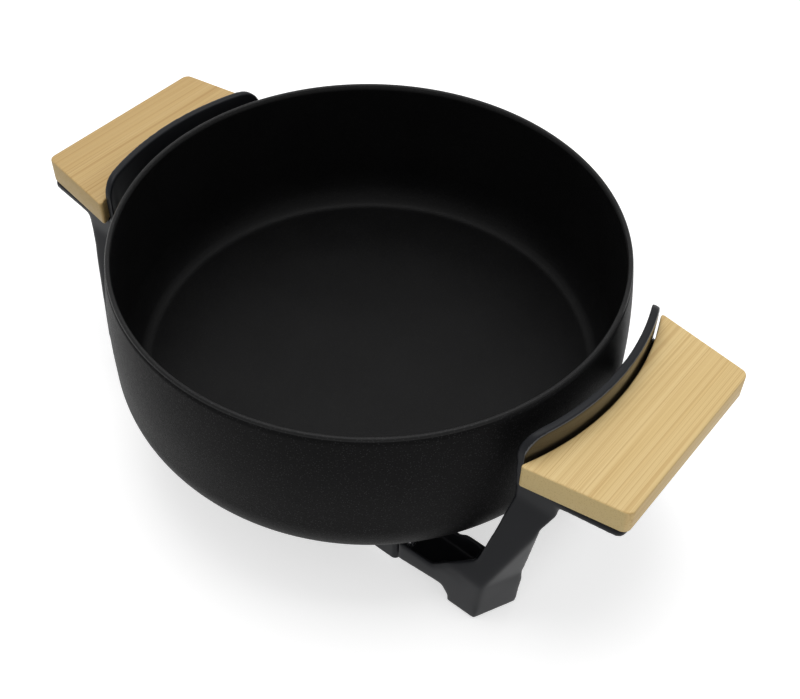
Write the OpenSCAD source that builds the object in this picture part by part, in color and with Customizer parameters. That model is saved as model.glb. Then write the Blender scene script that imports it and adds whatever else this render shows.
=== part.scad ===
// Electric fondue pot: a coated pan that lifts off a heated base, between two brackets with wooden grips.
// Z is up, the grips lie along X and the mains inlet faces +Y.
// The origin is on the table, under the axis of the pan. All sizes are in millimetres.

/* [Pan] */
// Outer radius of the pan at its rim
pan_rim_r = 120.6; // [114:0.2:128]
// How far the wall swells past the rim
pan_swell = 3.8; // [2:0.2:6]
// Depth of the widest place below the rim
pan_swell_drop = 45; // [38:1:52]
// Height of the pan, from the underside of its floor to its rim
pan_h = 84.6; // [78:0.2:90]
// Outer radius of the bend between wall and floor
pan_bend_r = 33; // [28:1:38]
// How far the flat underside cuts into the outer bend
pan_bend_cut = 6; // [3:0.2:8]
// Inner radius of the corner between wall and floor
pan_corner_r = 8; // [5:0.5:12]
// Thickness of the pan's wall
pan_wall = 2.4; // [2:0.1:3.4]
// Thickness of the pan's floor
pan_floor_t = 5.9; // [4:0.1:8]
// Height of the ring under the floor that centres the pan
pan_ring_h = 3; // [2:0.5:4]
// Width of the centring ring
pan_ring_w = 3.5; // [2.5:0.5:5]
// Gap between the centring ring and the hot plate
pan_ring_gap = 1.5; // [1:0.1:2.5]

/* [Shields] */
// Gap between the pan's widest place and a shield
shield_gap = 8; // [5:0.2:12]
// Thickness of a shield
shield_t = 2.8; // [2:0.1:4]
// Half the width of a shield, across the grip
shield_half_w = 52.6; // [48:0.2:56]
// How far a shield's top edge lies below the rim
shield_drop = 2; // [0.5:0.5:6]
// Radius of a shield's upper corners
shield_corner_r = 9; // [4:0.5:14]
// How far below the grip plate a leg starts to lean out from the shield's end
lean_drop = 8; // [1:0.5:11]
// How far a shield reaches down past the grip plate
shield_apron = 7; // [3:0.5:12]

/* [Grips] */
// Thickness of a grip
grip_t = 13; // [10:0.2:15]
// How far a grip's top lies below the rim
grip_drop = 13.6; // [10:0.2:18]
// Gap between a shield and its grip
grip_gap = 1.8; // [1.2:0.1:4]
// Depth of a grip, from the middle of its hollow side to its straight edge
grip_depth = 35.2; // [30:0.2:42]
// Half the length of a grip along its hollow side
grip_inner_half = 56.2; // [54:0.2:59]
// Half the length of a grip along its straight edge
grip_outer_half = 48.4; // [42:0.2:52]
// Radius of a grip's outer corners
grip_corner_r = 4; // [2:0.5:8]
// Thickness of the plate under a grip
plate_t = 3.8; // [2.8:0.1:4.8]
// How far the plate lies inside the grip's slanted ends
plate_inset = 0.2; // [0.1:0.1:1.2]
// How far the plate lies inside the grip's straight edge
plate_short = 2; // [1:0.2:5]
// Distance of a grip screw from the middle of the grip
grip_screw_y = 28; // [18:1:36]
// Depth of a grip screw in the wood
grip_screw_depth = 8.5; // [6:0.5:9]

/* [Legs] */
// How far a foot's outer face stands out past the shield
foot_step = 3.8; // [3:0.2:7]
// Length of a foot along the side of the base
foot_len = 16; // [14:0.5:22]
// Width of a foot from the side of the base inwards
foot_w = 20; // [17:0.5:24]
// Height of a foot's top
foot_top = 24; // [22:0.5:28]
// Height at which a leg starts to lean in
knee_z = 29; // [27:0.5:34]
// Height at which the leg's outer face runs out
fold_z = 71; // [60:1:78]
// Thickness of a leg's web
web_t = 3.5; // [2.5:0.1:5]
// How far the web reaches out under the grip plate
web_reach = 18; // [14:0.2:22]
// Size of the fillet between the web's tip and the plate
web_fillet = 5; // [3:0.5:6]
// Width of the leg beside the arch, at the arch's top
arch_leg_w = 10; // [7:0.5:16]
// Radius of the arch's corners
arch_corner_r = 12; // [6:1:16]
// Radius of a rubber pad
pad_r = 6.5; // [5:0.5:7]
// Thickness of a rubber pad
pad_t = 3.5; // [2.5:0.5:5]
// How far a pad stands out under its foot
pad_proud = 1; // [0.5:0.1:1.5]

/* [Arms] */
// Width of an arm's channel outside
arm_w = 23.2; // [21:0.2:26]
// Thickness of an arm's walls
arm_wall = 2.5; // [2:0.1:3]
// Height of an arm's top edge
arm_top = 20.8; // [20.6:0.2:22]
// Height of an arm's underside at the base
arm_low = 7; // [6:0.2:8]
// Height of an arm's underside at the foot
arm_high = 9.6; // [9:0.2:10.4]
// How far the gusset between arm and leg starts before the foot
gusset_len = 9.6; // [6:0.2:12]

/* [Base] */
// Room between the hot plate's flange and the base's end walls, along the grips' axis
base_end_room = 5.9; // [4:0.1:9]
// Room between the hot plate's flange and the base's side walls
base_side_room = 1.5; // [1:0.1:4]
// Height of the base's underside above the table
base_z = 5; // [4:0.2:6]
// Height of the base
base_h = 19.4; // [19:0.2:22]
// Thickness of the base's walls
base_wall = 2.5; // [2:0.1:3]
// Radius of the base's corners
base_corner_r = 3; // [1:0.5:5]
// Thickness of the bottom cover
cover_t = 1.5; // [1:0.1:2]
// Number of vent slots in each row of the cover
vent_count = 5; // [3:1:6]

/* [Heater] */
// Radius of the hot plate
hot_plate_r = 60; // [54:0.5:66]
// How far the hot plate stands above the base
hot_plate_rise = 11; // [8:0.2:13]
// Gap round the hot plate in the base's top
hot_plate_gap = 1.2; // [0.8:0.1:1.6]
// Thickness of the hot plate's flange
flange_t = 3; // [2:0.1:3.4]
// Width of the silicone seal on the flange
seal_w = 4.8; // [3:0.2:5]
// Thickness of the silicone seal
seal_t = 1.5; // [1:0.1:1.8]
// Radius of the heater tube
element_r = 3.25; // [2.6:0.05:3.4]
// Bend radius at the ends of the heater
element_bend_r = 10; // [9:0.5:13]
// Distance from the hot plate's edge in to the heater's ring
element_inset = 20; // [18:0.5:22]
// Distance from the hot plate's edge in to the spacers
spacer_inset = 6; // [5:0.5:7]
// Height of the spacers' wide foot, which carries the reflector
spacer_step = 3; // [2.6:0.1:3.4]
// Thickness of the heat reflector
reflector_t = 0.8; // [0.5:0.1:1]

/* [Inlet] */
// Half the distance between the two contact pins
pin_half_gap = 20; // [18:0.5:22]
// Radius of a contact pin
pin_r = 2; // [1.5:0.1:2.4]
// Length of a contact pin that stands in the socket
pin_show = 17.5; // [14:0.5:20]
// Radius of the bore for the thermostat's probe
probe_r = 3.5; // [3:0.1:3.7]
// Depth of the bore for the probe
probe_depth = 52; // [40:1:54]
// Half the width of the socket's inside
socket_half_w = 26; // [25.6:0.2:27]
// Half the height of the socket's inside
socket_half_h = 5; // [4.6:0.1:5.2]
// Wall of the socket
socket_wall = 2; // [1.5:0.1:2.4]
// How far the socket stands out behind the base
socket_len = 26; // [22:0.5:30]

/* [Hidden] */
$fn = 96;
// Steps of a rounded corner, of the pan's bend and of the heater's ring and bends
corner_steps = 8;
bend_steps = 14;
ring_steps = 20;
heater_bend_steps = 4;
// Thickness of the slices that a leg is hulled from
slice = 0.4;
// Sides of the heater's tube
heater_sides = 12;
// Overlap of cuts past a face
cut = 1;
// Radial clearance of screws and pins in their holes
hole_fit = 0.05;
// Clearance of screws in the plates they pass through
pass_fit = 0.3;
// Clearance between parts that are put into each other
part_fit = 0.2;
// Screws: shank radius, head radius and head height
screw_r = 1.95;
screw_head_r = 3.4;
screw_head_h = 2.2;
// Length of a screw's thread in its boss, the wall of a boss and the room beside a head
thread_len = 7;
boss_wall = 2;
head_room = 0.9;

// Colours
coat_black = [0.10, 0.10, 0.10];
stand_grey = [0.23, 0.23, 0.25];
bamboo = [0.86, 0.73, 0.52];
steel = [0.75, 0.75, 0.77];
cast_grey = [0.68, 0.69, 0.70];
rubber_black = [0.08, 0.08, 0.08];
ceramic_white = [0.93, 0.92, 0.88];
brass_yellow = [0.80, 0.66, 0.33];
silicone_red = [0.55, 0.20, 0.16];
socket_black = [0.12, 0.12, 0.12];
wire_brown = [0.42, 0.25, 0.14];
wire_green = [0.35, 0.55, 0.20];

// Heights
base_top = base_z + base_h;
seat_z = base_top + hot_plate_rise;
rim_z = seat_z + pan_h;
cover_top = base_z + cover_t;
flange_top = base_top - base_wall - seal_t;
flange_z = flange_top - flange_t;
shield_top = rim_z - shield_drop;
grip_z = rim_z - grip_drop - grip_t;
plate_z = grip_z - plate_t;
arch_z = plate_z - shield_apron;
foot_z = pad_proud;
arm_floor = arm_high + arm_wall;

// Radii round the pan's axis
belly_r = pan_rim_r + pan_swell;
swell_r = (pan_swell_drop * pan_swell_drop + pan_swell * pan_swell) / (2 * pan_swell);
ring_in_r = hot_plate_r + pan_ring_gap;
shield_r = belly_r + shield_gap;
shield_out_r = shield_r + shield_t;
shield_mid_r = shield_r + shield_t / 2;
foot_r = shield_out_r + foot_step;
plate_hole_r = hot_plate_r + hot_plate_gap;
flange_r = plate_hole_r + seal_w;
element_ring_r = hot_plate_r - element_inset;
spacer_ring_r = hot_plate_r - spacer_inset;

// Base, which sets the width of the legs too
base_half_x = flange_r + base_end_room + base_wall;
base_half_y = flange_r + base_side_room + base_wall;

// Grip outline
grip_in_r = shield_out_r + grip_gap;
grip_out_x = grip_in_r + grip_depth;
grip_in_x = across(grip_in_r, grip_inner_half);
grip_slope = (grip_inner_half - grip_outer_half) / (grip_out_x - grip_in_x);
grip_screw_x = grip_in_r + grip_depth / 2;
plate_bite = 0.4;

// Legs, feet and arms, written for the right front one
foot_x = across(foot_r, base_half_y);
foot_in_x = foot_x - foot_len;
foot_in_y = base_half_y - foot_w;
foot_out_x = across(foot_r, foot_in_y);
arm_in_y = base_half_y - arm_w;
gusset_x = foot_in_x - gusset_len;
pad_shift = 1.5;
pad_x = foot_x - foot_len / 4;
pad_y = base_half_y - foot_w / 2 - pad_shift;
web_foot_x = across(shield_mid_r, base_half_y);
web_top_x = across(shield_mid_r, shield_half_w);
web_tip_x = across(shield_out_r, shield_half_w) + web_reach;
web_setback = 0.3;
lean_z = plate_z - lean_drop;
fold_share = (fold_z - knee_z) / (lean_z - knee_z);
gusset_knee_x = gusset_x + knee_z - arm_top;
gusset_rise = web_foot_x - gusset_knee_x;
gusset_share = gusset_rise / (lean_z - knee_z);
arm_screw_z = (arm_floor + arm_top) / 2;
arm_screw_in = arm_wall + screw_head_r + head_room;
arm_screw_ys = [arm_in_y + arm_screw_in, base_half_y - arm_screw_in];
boss_r = screw_r + boss_wall;

// Bottom cover
cover_half_x = base_half_x - base_wall - part_fit;
cover_half_y = base_half_y - base_wall - part_fit;
cover_boss_inset = 6;
cover_boss_x = cover_half_x - boss_r - cover_boss_inset;
cover_boss_y = 38;
vent_len = 24;
vent_w = 3;
vent_pitch = 8;

// Heater
spacer_angles = [30, 150, 270];
spacer_in_r = screw_r + pass_fit;
spacer_out_r = 4;
spacer_foot_r = 5.5;
spacer_top = cover_top + spacer_step;
reflector_r = flange_r - 3;
reflector_slot = 1;
element_z = flange_z;
element_end_angle = acos((pin_half_gap + element_bend_r) / (element_ring_r + element_bend_r));
element_bend_x = pin_half_gap + element_bend_r;
element_bend_y = (element_ring_r + element_bend_r) * sin(element_end_angle);
end_seal_len = 6;
cold_pin_r = 1.25;
cold_pin_show = 4;
terminal_room = 12;
cold_pin_y = base_half_y - terminal_room;
element_end_y = cold_pin_y - cold_pin_show - end_seal_len;

// Probe block under the hot plate
probe_block_half_w = 7;
probe_block_h = 9;
probe_block_back = 4;
probe_block_end = 4;
probe_block_y = flange_r - probe_block_back;
probe_z = flange_z - probe_block_h / 2;
probe_block_front = probe_block_y - probe_depth - probe_block_end;

// Inlet
socket_back_t = 2.5;
socket_plug_len = 4.5;
socket_plug_step = 1;
probe_pass = 0.7;
socket_plug_half_w = socket_half_w + socket_plug_step;
socket_plug_half_h = probe_block_h / 2 - pass_fit;
socket_out_half_w = socket_half_w + socket_wall;
socket_out_half_h = socket_half_h + socket_wall;
ear_w = 9;
ear_t = 3;
inlet_screw_x = socket_out_half_w + ear_w / 2;
pin_shank_r = pin_r + 0.3;
pin_tip_y = base_half_y + socket_back_t + pin_show;
strip_t = 1;
strip_half_w = 2.5;
pin_end_y = cold_pin_y + strip_t;
spring_t = 0.8;
spring_half_h = 3.5;
spring_inside = 9;
spring_end_y = base_half_y - spring_inside;
spring_recess = 4;
spring_tip_y = base_half_y + socket_len - spring_recess;

// Cut-out and earth terminal under the hot plate
fuse_inset = 20;
fuse_y = fuse_inset - element_ring_r;
fuse_r = 2;
fuse_half_len = 8;
fuse_air = 0.1;
fuse_z = flange_z - fuse_r - fuse_air;
clamp_half_w = 5;
clamp_t = 0.8;
clamp_room = 1;
clamp_leg = fuse_r + clamp_room;
clamp_foot_len = 9;
clamp_screw_y = fuse_y - clamp_leg - (clamp_foot_len + clamp_t) / 2;
small_screw_r = 1.45;
small_head_r = 2.8;
small_head_h = 2;
small_thread = 5;
earth_inset = 13;
earth_x = element_ring_r - earth_inset;
earth_y = 8;
washer_r = 4.2;

// Wiring: the leads' radius, the gap at their ends, their height over the reflector and their routes
lead_r = 1.2;
lead_gap = 0.2;
lead_sides = 8;
lead_lift = 0.8;
lead_z = spacer_top + reflector_t + lead_r + lead_lift;
live_route = [
    [-pin_half_gap, pin_end_y - lead_gap, probe_z], [-pin_half_gap, pin_end_y - 4, probe_z],
    [-18, run(0.13), lead_z], [-15, run(0.24), lead_z], [-13, run(0.39), lead_z], [-12, run(0.57), lead_z],
    [-12, run(0.75), lead_z], [-13, run(0.87), lead_z + 0.3], [-14, run(0.95), lead_z + 1.3],
    [-12, fuse_y, fuse_z], [-fuse_half_len - lead_gap, fuse_y, fuse_z]
];
fuse_route = [
    [fuse_half_len + lead_gap, fuse_y, fuse_z], [12, fuse_y, fuse_z], [14.5, fuse_y - 5, lead_z + 1.1],
    in_ring(0.33, -0.75), in_ring(0.13, -0.84), in_ring(-0.15, -0.84), in_ring(-0.43, -0.73),
    in_ring(-0.6, -0.5), in_ring(-0.7, -0.2), in_ring(-0.75, 0.15), in_ring(-0.76, 0.5), in_ring(-0.75, 0.85),
    [-pin_half_gap - 8.5, cold_pin_y - 12, lead_z + 0.3], [-pin_half_gap - 6, cold_pin_y - 2, lead_z + 1.1],
    [-pin_half_gap - 3.5, cold_pin_y + 4, lead_z + 2.5], [-pin_half_gap - 1, cold_pin_y + 6, element_z - 0.8],
    [-pin_half_gap, cold_pin_y + 3.5, element_z], [-pin_half_gap, cold_pin_y + lead_gap, element_z]
];
earth_route = [
    [socket_half_w - spring_t / 2, spring_end_y - lead_gap, probe_z],
    [socket_half_w, spring_end_y - 6, lead_z + 0.4],
    [(socket_half_w + earth_x + 1) / 2, spring_end_y - 15, lead_z],
    [earth_x + 1, earth_y + 28, lead_z], [earth_x + 1, earth_y + 18, lead_z + 0.3],
    [earth_x + 0.4, earth_y + 11, lead_z + 1.7], [earth_x, earth_y + 7.4, lead_z + 3.3],
    [earth_x, earth_y + washer_r + lead_gap, flange_z - 1.4]
];

// Place between the live pin's end and the cut-out, by its share of the way
function run(share) = pin_end_y + (fuse_y - pin_end_y) * share;

// Point of a lead inside the heater's ring, by its shares of the ring's radius
function in_ring(x, y) = [x * element_ring_r, y * element_ring_r, lead_z];

// Distance from the X axis's origin to a circle of radius r at a sideways distance y
function across(r, y) = sqrt(r * r - y * y);

// Points of an arc, from angle a to angle b
function arc(centre, r, a, b, steps = corner_steps) =
    [for (i = [0:steps]) centre + r * [cos(a + (b - a) * i / steps), sin(a + (b - a) * i / steps)]];

// Rectangle about the origin with round corners
function round_rect(half_x, half_y, r) = concat(
    arc([half_x - r, half_y - r], r, 0, 90),
    arc([r - half_x, half_y - r], r, 90, 180),
    arc([r - half_x, r - half_y], r, 180, 270),
    arc([half_x - r, r - half_y], r, 270, 360)
);

// Sideways distance of a grip's slanted end at a distance x from the axis
function grip_end(x) = grip_inner_half - grip_slope * (x - grip_in_x);

function unit(v) = v / norm(v);

// Direction of a route at its point i
function heading(route, i) =
    unit(route[min(i + 1, len(route) - 1)] - route[max(i - 1, 0)]);

// Ring of points round a route's point i
function tube_ring(route, i, r, sides) =
    let (t = heading(route, i), side = unit(cross(t, [0, 0, 1])), up = cross(side, t))
    [for (k = [0:sides - 1]) route[i] + r * (side * cos(360 * k / sides) + up * sin(360 * k / sides))];

// Round tube along a route
module tube(route, r, sides) {
    rings = len(route);
    points = [for (i = [0:rings - 1]) each tube_ring(route, i, r, sides)];
    walls = [for (i = [0:rings - 2], k = [0:sides - 1])
        let (a = i * sides + k, b = i * sides + (k + 1) % sides)
        each [[a, b, a + sides], [b, b + sides, a + sides]]];
    first = [for (k = [sides - 1:-1:0]) k];
    last = [for (k = [0:sides - 1]) (rings - 1) * sides + k];
    polyhedron(points = points, faces = concat(walls, [first, last]));
}

// Wire inside the base
module lead(route) {
    tube(route, lead_r, lead_sides);
}

// Screw whose head lies below z = 0 and whose shank points up
module screw(length, r = screw_r, head_r = screw_head_r, head_h = screw_head_h) {
    socket_r = head_r * 0.45;
    difference() {
        union() {
            cylinder(r = r, h = length);
            translate([0, 0, -head_h]) cylinder(r = head_r, h = head_h);
        }
        translate([0, 0, -head_h - cut]) cylinder(r = socket_r, h = cut + head_h * 0.6, $fn = 6);
    }
}

// Prism along Y, from y = -far to y = -near, of an outline in X and Z
module side_prism(outline, near, far) {
    translate([0, -near, 0]) rotate([90, 0, 0]) linear_extrude(far - near) polygon(outline);
}

// Prism along X of an outline in Y and Z
module front_prism(outline, length) {
    rotate([90, 0, 90]) linear_extrude(length) polygon(outline);
}

// Both halves of something symmetric about the XZ plane
module both_ends() {
    children();
    mirror([0, 1, 0]) children();
}

// Pan: one turned profile, with its rounded lip and the centring ring under its floor
module pan() {
    lip_z = pan_h - pan_wall / 2;
    swell_z = pan_h - pan_swell_drop;
    swell_x = belly_r - swell_r;
    lip_rise = lip_z - swell_z;
    out_angle = asin(lip_rise / swell_r);
    in_angle = asin(lip_rise / (swell_r - pan_wall));
    lip_out_x = swell_x + swell_r * cos(out_angle);
    lip_in_x = swell_x + (swell_r - pan_wall) * cos(in_angle);
    bend = [belly_r - pan_bend_r, pan_bend_r - pan_bend_cut];
    bend_angle = asin(bend.y / pan_bend_r);
    in_bend_r = pan_bend_r - pan_wall;
    corner_z = pan_floor_t + pan_corner_r;
    corner_angle = asin((bend.y - corner_z) / (in_bend_r - pan_corner_r));
    corner_x = bend.x + (in_bend_r - pan_corner_r) * cos(corner_angle);
    corner = arc([corner_x, corner_z], pan_corner_r, -corner_angle, -90);
    profile = concat(
        [[0, 0], [ring_in_r, 0], [ring_in_r, -pan_ring_h]],
        [[ring_in_r + pan_ring_w, -pan_ring_h], [ring_in_r + pan_ring_w, 0]],
        arc(bend, pan_bend_r, -bend_angle, 0, bend_steps),
        arc([swell_x, swell_z], swell_r, 0, out_angle),
        arc([(lip_out_x + lip_in_x) / 2, lip_z], pan_wall / 2, 0, 180),
        arc([swell_x, swell_z], swell_r - pan_wall, in_angle, 0),
        arc(bend, in_bend_r, 0, -corner_angle),
        [for (i = [1:corner_steps]) corner[i]],
        [[0, pan_floor_t]]
    );
    color(coat_black) translate([0, 0, seat_z]) rotate_extrude($fn = 180) polygon(profile);
}

// Outline of a grip and its plate, drawn in by margins at its slanted ends and its straight edge
module grip_outline(inset, short, hollow_r) {
    end_x = grip_out_x - short;
    root_x = grip_in_x - 2 * grip_corner_r;
    end_y = grip_end(end_x) - inset;
    root_y = grip_end(root_x) - inset;
    lean = atan(grip_slope);
    corner = [end_x - grip_corner_r, end_y - grip_corner_r * (1 / cos(lean) - tan(lean))];
    difference() {
        polygon(concat(
            [[root_x, -root_y]],
            arc([corner.x, -corner.y], grip_corner_r, -90 + lean, 0),
            arc(corner, grip_corner_r, 0, 90 - lean),
            [[root_x, root_y]]
        ));
        circle(r = hollow_r, $fn = 180);
    }
}

// Shield and the upright sheet of both legs, as one curved sheet with an arch between the legs
module shield_sheet() {
    leg_in = shield_half_w - arch_leg_w;
    top = shield_top - shield_corner_r;
    top_y = shield_half_w - shield_corner_r;
    arch_lean = atan((foot_in_y - leg_in) / (arch_z - foot_top));
    half = concat(
        arc([top_y, top], shield_corner_r, 90, 0),
        [[shield_half_w, lean_z], [base_half_y, knee_z]],
        [[base_half_y, foot_top], [foot_in_y, foot_top]],
        arc([leg_in - arch_corner_r, arch_z - arch_corner_r], arch_corner_r, arch_lean, 90)
    );
    other = [for (i = [len(half) - 1:-1:0]) [-half[i].x, half[i].y]];
    intersection() {
        difference() {
            cylinder(r = shield_out_r, h = rim_z, $fn = 180);
            translate([0, 0, -cut]) cylinder(r = shield_r, h = rim_z + 2 * cut, $fn = 180);
        }
        front_prism(concat(half, other), foot_r);
    }
}

// Section of a leg's web, between its line at the knee and its line under the plate
function web_section(share) =
    let (
        foot = [[web_foot_x, -base_half_y], [foot_x, -base_half_y]],
        head = [[web_top_x, -shield_half_w], [web_tip_x, -shield_half_w]],
        line = foot * (1 - share) + head * share
    )
    [line[0], line[1], line[1] + [0, web_t], line[0] + [0, web_t]];

// Slice of the gusset in the plane of the leg's web, from a distance x to the leg
module gusset_slice(z, share, from_x) {
    to_x = web_foot_x + (web_top_x - web_foot_x) * share + web_setback;
    y = base_half_y + (shield_half_w - base_half_y) * share - web_setback;
    translate([from_x, -y, z]) cube([to_x - from_x, web_t, slice]);
}

// Front leg of the right bracket above its foot
module leg() {
    fillet_y = grip_end(web_tip_x + web_fillet) - plate_inset - web_setback;
    fillet = concat(
        [[web_tip_x - web_fillet, plate_z + slice], [web_tip_x - web_fillet, plate_z - web_fillet]],
        arc([web_tip_x + web_fillet - web_setback, plate_z - web_fillet], web_fillet, 180, 90),
        [[web_tip_x + web_fillet - web_setback, plate_z + slice]]
    );
    gusset = [
        [gusset_x - web_setback, arm_top - slice], [web_foot_x + web_setback, arm_top - slice],
        [web_foot_x + web_setback, knee_z + slice], [gusset_knee_x, knee_z + slice]
    ];
    gusset_z = knee_z + gusset_rise;
    gusset_tip_x = web_foot_x + (web_top_x - web_foot_x) * gusset_share;
    base = [
        [web_foot_x, -base_half_y], [foot_x, -base_half_y],
        [foot_out_x, -foot_in_y], [across(shield_mid_r, foot_in_y), -foot_in_y]
    ];
    translate([0, 0, foot_top - slice]) linear_extrude(knee_z - foot_top + 2 * slice) polygon(base);
    hull() {
        translate([0, 0, knee_z]) linear_extrude(slice) polygon(web_section(0));
        translate([0, 0, lean_z]) linear_extrude(slice) polygon(web_section(1));
    }
    translate([0, 0, lean_z]) linear_extrude(lean_drop + slice) polygon(web_section(1));
    hull() {
        translate([0, 0, knee_z]) linear_extrude(slice) polygon(base);
        translate([0, 0, fold_z]) linear_extrude(slice) polygon(web_section(fold_share));
    }
    side_prism(fillet, fillet_y - web_t, fillet_y);
    side_prism(gusset, base_half_y - web_setback - web_t, base_half_y - web_setback);
    hull() {
        gusset_slice(knee_z, 0, gusset_knee_x);
        gusset_slice(gusset_z, gusset_share, gusset_tip_x);
    }
}

// Front foot of the right bracket and the channelled arm that joins it to the base
module arm_and_foot() {
    heel = 4;
    plan = [
        [base_half_x, -base_half_y], [foot_x, -base_half_y], [foot_out_x, -foot_in_y],
        [foot_out_x - (foot_in_y - arm_in_y), -arm_in_y], [base_half_x, -arm_in_y]
    ];
    side = [
        [base_half_x, arm_low], [foot_in_x - heel, arm_high], [foot_in_x, foot_z + heel], [foot_in_x, foot_z],
        [foot_r, foot_z], [foot_r, foot_top], [gusset_x + foot_top - arm_top, foot_top], [gusset_x, arm_top],
        [base_half_x, arm_top]
    ];
    channel = [
        [base_half_x + arm_wall, -base_half_y + arm_wall], [gusset_x, -base_half_y + arm_wall],
        [foot_in_x + heel, -pad_y], [foot_in_x + heel, -arm_in_y - arm_wall],
        [base_half_x + arm_wall, -arm_in_y - arm_wall]
    ];
    difference() {
        intersection() {
            linear_extrude(foot_top) polygon(plan);
            side_prism(side, 0, base_half_y);
        }
        translate([0, 0, arm_floor]) linear_extrude(foot_top) polygon(channel);
        translate([pad_x, -pad_y, foot_z - cut])
            cylinder(r = pad_r + hole_fit, h = pad_t - pad_proud + cut);
        for (y = arm_screw_ys)
            translate([base_half_x - cut, -y, arm_screw_z])
                rotate([0, 90, 0]) cylinder(r = screw_r + pass_fit, h = arm_wall + 2 * cut);
    }
}

// Right bracket: shield, grip plate, legs, feet and arms in one moulding
module bracket() {
    color(stand_grey) difference() {
        union() {
            shield_sheet();
            translate([0, 0, plate_z]) linear_extrude(plate_t) intersection() {
                grip_outline(plate_inset, plate_short, shield_out_r - plate_bite);
                square([2 * grip_out_x, 2 * shield_half_w], center = true);
            }
            both_ends() {
                leg();
                arm_and_foot();
            }
        }
        for (y = [-1, 1] * grip_screw_y)
            translate([grip_screw_x, y, plate_z - cut])
                cylinder(r = screw_r + pass_fit, h = plate_t + 2 * cut);
    }
}

// Right grip, with the holes for its two screws
module grip() {
    color(bamboo) difference() {
        translate([0, 0, grip_z]) linear_extrude(grip_t) grip_outline(0, 0, grip_in_r);
        for (y = [-1, 1] * grip_screw_y)
            translate([grip_screw_x, y, grip_z - cut])
                cylinder(r = screw_r + hole_fit, h = grip_screw_depth + cut + part_fit);
    }
}

// Screws that hold both grips from under their plates
module grip_screws() {
    color(steel) for (x = [-1, 1] * grip_screw_x, y = [-1, 1] * grip_screw_y)
        translate([x, y, plate_z]) screw(plate_t + grip_screw_depth);
}

// Rubber pad under one foot
module foot_pad(side_x, side_y) {
    color(rubber_black) translate([side_x * pad_x, side_y * pad_y, 0]) cylinder(r = pad_r, h = pad_t);
}

// Screws that hold the arms to the base
module bracket_screws() {
    color(steel) for (turn = [0, 180], end = [-1, 1], y = arm_screw_ys)
        rotate([0, 0, turn]) translate([base_half_x + arm_wall, end * y, arm_screw_z])
            rotate([0, -90, 0]) screw(arm_wall + base_wall + thread_len);
}

// Base housing: the open-bottomed shell between the arms, with its bosses
module base_housing() {
    boss_h = base_top - base_wall - cover_top + cut;
    color(stand_grey) difference() {
        union() {
            difference() {
                translate([0, 0, base_z]) linear_extrude(base_h)
                    polygon(round_rect(base_half_x, base_half_y, base_corner_r));
                translate([0, 0, base_z - cut]) linear_extrude(base_h - base_wall + cut)
                    polygon(round_rect(base_half_x - base_wall, base_half_y - base_wall, base_corner_r / 2));
            }
            for (x = [-1, 1] * cover_boss_x, y = [-1, 1] * cover_boss_y)
                translate([x, y, cover_top]) cylinder(r = boss_r, h = boss_h);
            for (turn = [0, 180], end = [-1, 1], y = arm_screw_ys)
                rotate([0, 0, turn]) translate([base_half_x - cut, end * y, arm_screw_z])
                    rotate([0, -90, 0]) cylinder(r = boss_r, h = base_wall + thread_len);
            for (x = [-1, 1] * inlet_screw_x)
                translate([x, base_half_y - cut, probe_z])
                    rotate([90, 0, 0]) cylinder(r = boss_r, h = base_wall + thread_len);
        }
        translate([0, 0, base_top - base_wall - cut]) cylinder(r = plate_hole_r, h = base_wall + 2 * cut);
        for (x = [-1, 1] * cover_boss_x, y = [-1, 1] * cover_boss_y)
            translate([x, y, cover_top - cut]) cylinder(r = screw_r + hole_fit, h = thread_len + 2 * cut);
        for (turn = [0, 180], end = [-1, 1], y = arm_screw_ys)
            rotate([0, 0, turn]) translate([base_half_x + cut, end * y, arm_screw_z])
                rotate([0, -90, 0]) cylinder(r = screw_r + hole_fit, h = base_wall + thread_len + 3 * cut);
        for (x = [-1, 1] * inlet_screw_x)
            translate([x, base_half_y + cut, probe_z])
                rotate([90, 0, 0]) cylinder(r = screw_r + hole_fit, h = base_wall + thread_len + 3 * cut);
        socket_block(socket_plug_half_w + part_fit, socket_plug_half_h + part_fit,
            base_half_y - base_wall - cut, base_half_y + cut);
    }
}

// Bottom cover, with its vent slots and the holes for its screws
module base_cover() {
    color(steel) difference() {
        translate([0, 0, base_z]) linear_extrude(cover_t)
            polygon(round_rect(cover_half_x, cover_half_y, base_corner_r / 2));
        for (x = [-1, 1] * cover_boss_x, y = [-1, 1] * cover_boss_y)
            translate([x, y, base_z - cut]) cylinder(r = screw_r + pass_fit, h = cover_t + 2 * cut);
        for (a = spacer_angles)
            rotate([0, 0, a]) translate([spacer_ring_r, 0, base_z - cut])
                cylinder(r = spacer_in_r, h = cover_t + 2 * cut);
        for (x = [-1, 1] * vent_len, i = [0:vent_count - 1])
            translate([x, (i - (vent_count - 1) / 2) * vent_pitch, base_z + cover_t / 2])
                cube([vent_len, vent_w, cover_t + 2 * cut], center = true);
    }
}

// Screws that hold the bottom cover
module cover_screws() {
    color(steel) for (x = [-1, 1] * cover_boss_x, y = [-1, 1] * cover_boss_y)
        translate([x, y, base_z]) screw(cover_t + thread_len);
}

// Bend between the heater's ring and its straight end
function element_bend() =
    arc([element_bend_x, element_bend_y], element_bend_r, 180 + element_end_angle, 180, heater_bend_steps);

// Right half of the heater's route: half a ring, a bend and a straight end
function element_half() = concat(
    arc([0, 0], element_ring_r, -90, element_end_angle, ring_steps),
    [for (i = [1:heater_bend_steps]) element_bend()[i]],
    [[pin_half_gap, element_end_y]]
);

// Whole route of the heater
function element_route() =
    let (half = element_half(), last = len(half) - 1)
    concat(
        [for (i = [last:-1:1]) [-half[i].x, half[i].y, element_z]],
        [for (p = half) [p.x, p.y, element_z]]
    );

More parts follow.
